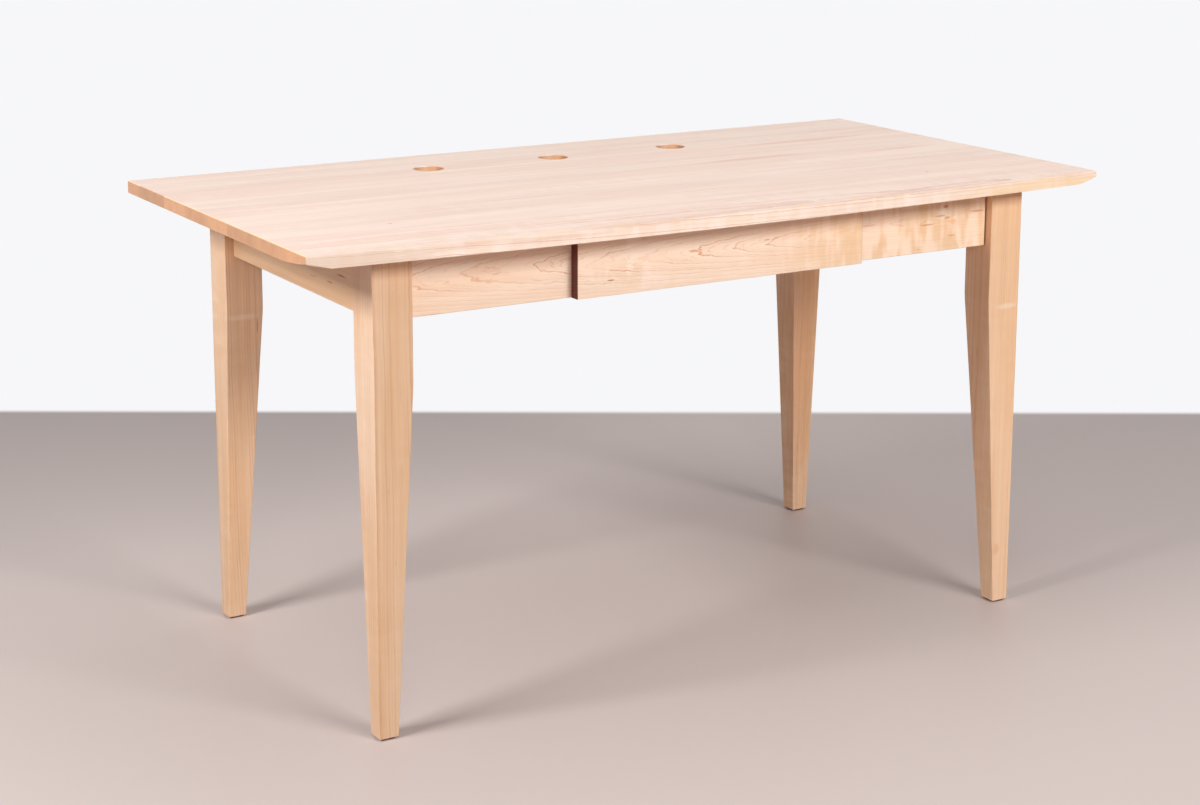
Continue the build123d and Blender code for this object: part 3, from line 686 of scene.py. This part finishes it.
def dress_aprons():
    knots = (
        Knot((468, APRON_FACE, 738), (40, 30, 20), 7.0),
        Knot((430, APRON_FACE, 716), (60, 30, 14), -2.5),
        Knot((-360, APRON_FACE, 722), (26, 30, 9), 1.6),
    )
    marks = (
        Mark((467, APRON_FACE, 735), (18, 8, 12), CREAM, 0.65),
        Mark((475, APRON_FACE, 747), (6, 6, 3.5), GOLDEN_BROWN, 0.65),
        Mark((463, APRON_FACE, 731), (13, 6, 2.2), GOLDEN_BROWN, 0.5),
        Mark((479, APRON_FACE, 727), (9, 6, 3.0), GOLDEN_BROWN, 0.5),
        Mark((490, APRON_FACE, 719), (13, 6, 6), AMBER, 0.5),
        Mark((434, APRON_FACE, 718), (20, 6, 2.2), GOLDEN_BROWN, 0.55),
        Mark((304, APRON_FACE, 729), (22, 6, 1.3), GOLDEN_BROWN, 0.4),
        Mark((489, APRON_FACE, 694), (14, 6, 1.8), GOLDEN_BROWN, 0.45),
        Mark((545, APRON_FACE, 733), (18, 6, 2.2), GOLDEN_BROWN, 0.5),
    )
    front_log = replace(FRONT_BOARD, knots=knots)
    dress_maple("apron_front", APRON_WOOD, X_AXIS, Z_AXIS, front_log, marks=marks)
    back_log = Log((-12, -74), seed=22, taper=0.05, ring=4.4)
    dress_maple("apron_back", BACK_WOOD, X_AXIS, Z_AXIS, back_log)
    streaks = (
        Mark((SIDE_FACE, -173, 717), (6, 24, 2.4), BROWN, 0.8),
        Mark((SIDE_FACE, -130, 699), (6, 15, 2.0), BROWN, 0.6),
        Mark((SIDE_FACE, -64, 697), (6, 18, 1.8), BROWN, 0.4),
    )
    dress_maple("apron_left", SIDE_WOOD_WITH_PAINTED_SHADE, Y_AXIS, Z_AXIS, Log((-150, 120), seed=23), marks=streaks)
    dress_maple("apron_right", SIDE_WOOD_WITH_PAINTED_SHADE, Y_AXIS, Z_AXIS, Log((150, 110), seed=24))


def dress_inner_frame():
    """What holds the frame together and carries the drawer. A block's grain runs across its corner."""
    dress_maple("cross_rail", INNER_WOOD, X_AXIS, Z_AXIS, Log((20, 70), seed=25))
    for side, seed in (("left", 44), ("right", 45)):
        for rail, rail_seed in (("runner", seed), ("kicker", seed), ("guide", seed - 1)):
            log = Log((40, 70), seed=rail_seed)
            dress_maple(f"drawer_{rail}_{side}", INNER_WOOD, Y_AXIS, X_AXIS, log)
    for corner, slant, seed in (
        ("front_left", 1, 32), ("back_left", -1, 30), ("front_right", -1, 33), ("back_right", 1, 31),
    ):
        grain = Vector((slant, -1, 0)).normalized()
        dress_maple(f"corner_block_{corner}", INNER_WOOD, grain, Z_AXIS, Log((30, 60), seed=seed))
    dress_maple("top_buttons", INNER_WOOD, Y_AXIS, X_AXIS, Log((300, 900), seed=35))
    dress("top_button_screws", STEEL)


def dress_drawer():
    knots = (Knot((76, DRAWER_FACE, 728), (18, 30, 7), 2.0),)
    marks = (
        Mark((-218, DRAWER_FACE, 694), (8, 6, 1.5), BROWN, 0.85),
        Mark((83, DRAWER_FACE, 730), (8, 6, 1.3), BROWN, 0.6),
        Mark((-245, DRAWER_FACE, 720), (55, 8, 14), FRONT_TONE, 0.75),
        Mark((-135, DRAWER_FACE, 723), (50, 8, 13), FRONT_TONE, 0.75),
    )
    front_log = replace(FRONT_BOARD, knots=knots)
    dress_maple("drawer_front", APRON_WOOD, X_AXIS, Z_AXIS, front_log, marks=marks)
    for side, seed in (("left", 52), ("right", 53)):
        dress_maple(f"drawer_side_{side}", INNER_WOOD, Y_AXIS, Z_AXIS, Log((60, 80), seed=seed))
    dress_maple("drawer_box_front", INNER_WOOD, X_AXIS, Z_AXIS, Log((-40, 60), seed=54))
    dress_maple("drawer_box_back", INNER_WOOD, X_AXIS, Z_AXIS, Log((40, 50), seed=55))
    bottom_log = Log((30, 260), seed=41, ring=3.6, wander=8.0)
    dress_maple("drawer_bottom", INNER_WOOD, X_AXIS, Y_AXIS, bottom_log)
    dress("drawer_front_screws", STEEL)


# ---------------------------------------------------------------- studio
FLOOR_SIZE = 24.0
FLOOR_COLOUR = srgb(205, 191, 186)
FLOOR_BOUNCE_COLOUR = srgb(178, 156, 147)  # darker, so that little light comes up from the floor
FLOOR_ROUGHNESS = 0.5
FLOOR_SPECULAR = 0.25
BACKDROP = srgb(247, 247, 249)
BACKDROP_DISTANCE = 1.34  # from the desk's middle to the backdrop's foot, straight away from the camera
BACKDROP_BLEND = 0.02
WORLD_FILL = 0.12


def seen_directly(nodes):
    """1 for what the camera sees, itself or in a reflection, and 0 for light that falls on things."""
    path = nodes.node("ShaderNodeLightPath")
    return nodes.math("MAXIMUM", path.outputs["Is Camera Ray"], path.outputs["Is Glossy Ray"])


def make_floor():
    """A plain pale floor that ends at a white backdrop behind the desk."""
    bpy.ops.mesh.primitive_plane_add(size=FLOOR_SIZE)
    floor = bpy.context.object
    floor.name = "floor"
    shader = Shader("pale_floor")
    path = shader.node("ShaderNodeLightPath")
    colour = shader.mix(path.outputs["Is Diffuse Ray"], FLOOR_COLOUR, FLOOR_BOUNCE_COLOUR)
    shader.feed(shader.surface.inputs["Base Color"], colour)
    shader.surface.inputs["Roughness"].default_value = FLOOR_ROUGHNESS
    shader.surface.inputs["Specular IOR Level"].default_value = FLOOR_SPECULAR

    coordinates = shader.node("ShaderNodeTexCoord")
    back = (math.sin(CAMERA_YAW), math.cos(CAMERA_YAW), 0.0)
    distance = shader.vector_math("DOT_PRODUCT", coordinates.outputs["Object"], back)
    away = shader.between(distance, BACKDROP_DISTANCE - BACKDROP_BLEND, BACKDROP_DISTANCE + BACKDROP_BLEND)
    white = shader.node("ShaderNodeEmission")
    white.inputs["Color"].default_value = BACKDROP
    blend = shader.node("ShaderNodeMixShader")
    shader.feed(blend.inputs[0], shader.math("MULTIPLY", away, seen_directly(shader)))
    shader.feed(blend.inputs[1], shader.surface.outputs[0])
    shader.feed(blend.inputs[2], white.outputs[0])
    shader.feed(shader.tree.nodes["Material Output"].inputs["Surface"], blend.outputs[0])
    floor.data.materials.append(shader.material)


def make_world():
    """White all round for the camera and for reflections, and a soft even fill for everything else."""
    world = bpy.data.worlds.new("studio")
    bpy.context.scene.world = world
    world.use_nodes = True
    nodes = Nodes(world.node_tree)
    background = nodes.tree.nodes["Background"]
    background.inputs["Color"].default_value = BACKDROP
    strength = nodes.math("MAXIMUM", seen_directly(nodes), WORLD_FILL)
    nodes.feed(background.inputs["Strength"], strength)


def make_softbox(name, place, aim, size, power):
    """A soft rectangular lamp of so many metres and watts at a place, turned to a point."""
    data = bpy.data.lights.new(name, "AREA")
    data.shape = "RECTANGLE"
    data.size, data.size_y = size
    data.energy = power
    lamp = bpy.data.objects.new(name, data)
    bpy.context.scene.collection.objects.link(lamp)
    lamp.location = place
    lamp.rotation_mode = "QUATERNION"
    lamp.rotation_quaternion = (Vector(aim) - Vector(place)).to_track_quat("-Z", "Y")


def make_lights():
    """Softboxes at the left end and in front, and weaker ones beside the camera and overhead."""
    make_softbox("left_softbox", (-3.4, -0.41, 2.45), aim=(-0.4, -0.1, 0.5), size=(1.2, 0.8), power=106.0)
    make_softbox("front_softbox", (1.05, -4.2, 2.6), aim=(0.1, 0.0, 0.5), size=(2.0, 1.1), power=134.0)
    make_softbox("camera_softbox", (-2.5, -4.2, 2.6), aim=(0.1, 0.0, 0.5), size=(1.6, 1.1), power=34.0)
    make_softbox("overhead_softbox", (1.1, 0.2, 3.2), aim=(0.9, 0.1, 0.0), size=(2.4, 2.4), power=26.0)


# ---------------------------------------------------------------- build
bpy.context.scene.view_settings.view_transform = "Standard"
RUBBER = rubber()
STEEL = steel()
make_camera()
make_floor()
make_world()
make_lights()
dress_top()
dress_legs()
dress_aprons()
dress_inner_frame()
dress_drawer()
